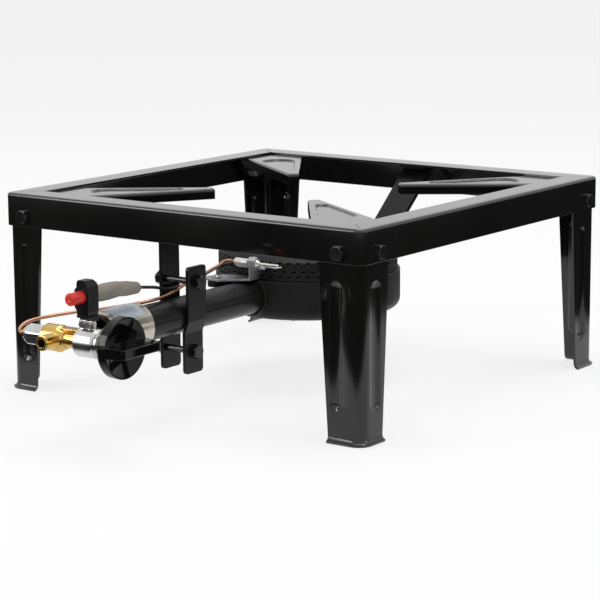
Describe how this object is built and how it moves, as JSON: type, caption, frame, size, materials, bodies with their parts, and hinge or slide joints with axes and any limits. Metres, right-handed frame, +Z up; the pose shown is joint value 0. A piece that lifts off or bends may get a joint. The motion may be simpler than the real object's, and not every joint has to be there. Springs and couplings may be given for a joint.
{
  "type": "single burner gas stove",
  "caption": "Low single burner gas stove: square steel frame on pressed legs, pot supports, cast burner, mixing tube with air sleeve, safety gas valve with knob and push igniter.",
  "frame": {"origin": "on the ground, under the middle of the square frame and of the burner", "axes": "+Z up, -Y towards the gas valve at the front, +X towards the knob's side"},
  "size_m": [0.409, 0.5575, 0.184],
  "materials": {
    "black_enamel": "gloss",
    "black_straps": "satin",
    "black_bolts": "satin",
    "black_tube": "satin",
    "cast_iron": "satin",
    "nickel": "satin",
    "label": "satin",
    "brass": "gloss",
    "plated_zinc": "gloss",
    "steel": "satin",
    "zinc_bracket": "satin",
    "sensor_steel": "satin",
    "black_knob": "gloss",
    "black_plastic": "satin",
    "red_button": "gloss",
    "boot_rubber": "matte",
    "lead_rubber": "satin",
    "copper": "satin",
    "white_ceramic": "gloss"
  },
  "bodies": {
    "stove": {"front_rail": "black_enamel", "right_rail": "black_enamel", "rear_rail": "black_enamel", "left_rail": "black_enamel", "leg_front_left": "black_enamel", "leg_front_right": "black_enamel", "leg_rear_left": "black_enamel", "leg_rear_right": "black_enamel", "leg_bolts": "black_bolts", "leg_nuts": "steel", "pot_support_front_left": "black_enamel", "pot_support_front_right": "black_enamel", "pot_support_rear_left": "black_enamel", "pot_support_rear_right": "black_enamel", "burner_base": "cast_iron", "burner_cap": "cast_iron", "burner_screws": "steel", "mixing_tube": "black_tube", "injector": "brass", "clamp_strap_left": "black_straps", "clamp_strap_right": "black_straps", "clamp_bolts": "black_bolts", "clamp_nuts": "black_bolts", "rear_support_bar": "black_straps", "rear_bar_bolt": "black_bolts", "rear_bar_nut": "black_bolts", "valve_body": "brass", "valve_bonnet": "plated_zinc", "bonnet_screws": "steel", "magnet_unit": "steel", "union_nut": "plated_zinc", "capillary_nut": "brass", "capillary": "copper", "igniter_bracket": "black_straps", "igniter_housing": "black_plastic", "igniter_spring": "steel", "piezo_element": "black_plastic", "lead_boot": "boot_rubber", "ht_lead": "lead_rubber", "electrode_bracket": "zinc_bracket", "bracket_screw": "steel", "electrode_ceramic": "white_ceramic", "electrode_rod": "steel", "electrode_clip": "steel", "thermocouple": "sensor_steel", "thermocouple_nut": "zinc_bracket"},
    "tap": {"tap_plug": "brass", "spindle_spring": "steel"},
    "knob": {"control_knob": "black_knob", "knob_spindle": "steel"},
    "sleeve": {"air_sleeve": "nickel", "sleeve_screw": "black_bolts", "rating_label": "label"},
    "button": {"igniter_button": "red_button"}
  },
  "joints": [
    {"name": "tap_turn", "type": "hinge", "parent": "stove", "child": "tap", "pos_m": [0, -0.327, 0.0905], "axis": [1, 0, 0], "range_deg": [0, 180]},
    {"name": "knob_push", "type": "slide", "parent": "tap", "child": "knob", "axis": [-1, 0, 0], "range_m": [0, 0.0035], "stiffness_N_per_m": 900, "springref_m": -0.003, "deforming": ["spindle_spring"]},
    {"name": "sleeve_slide", "type": "slide", "parent": "stove", "child": "sleeve", "axis": [0, 1, 0], "range_m": [-0.008, 0.008]},
    {"name": "button_push", "type": "slide", "parent": "stove", "child": "button", "axis": [0, 1, 0], "range_m": [0, 0.006], "stiffness_N_per_m": 700, "springref_m": -0.002, "deforming": ["igniter_spring"]}
  ]
}
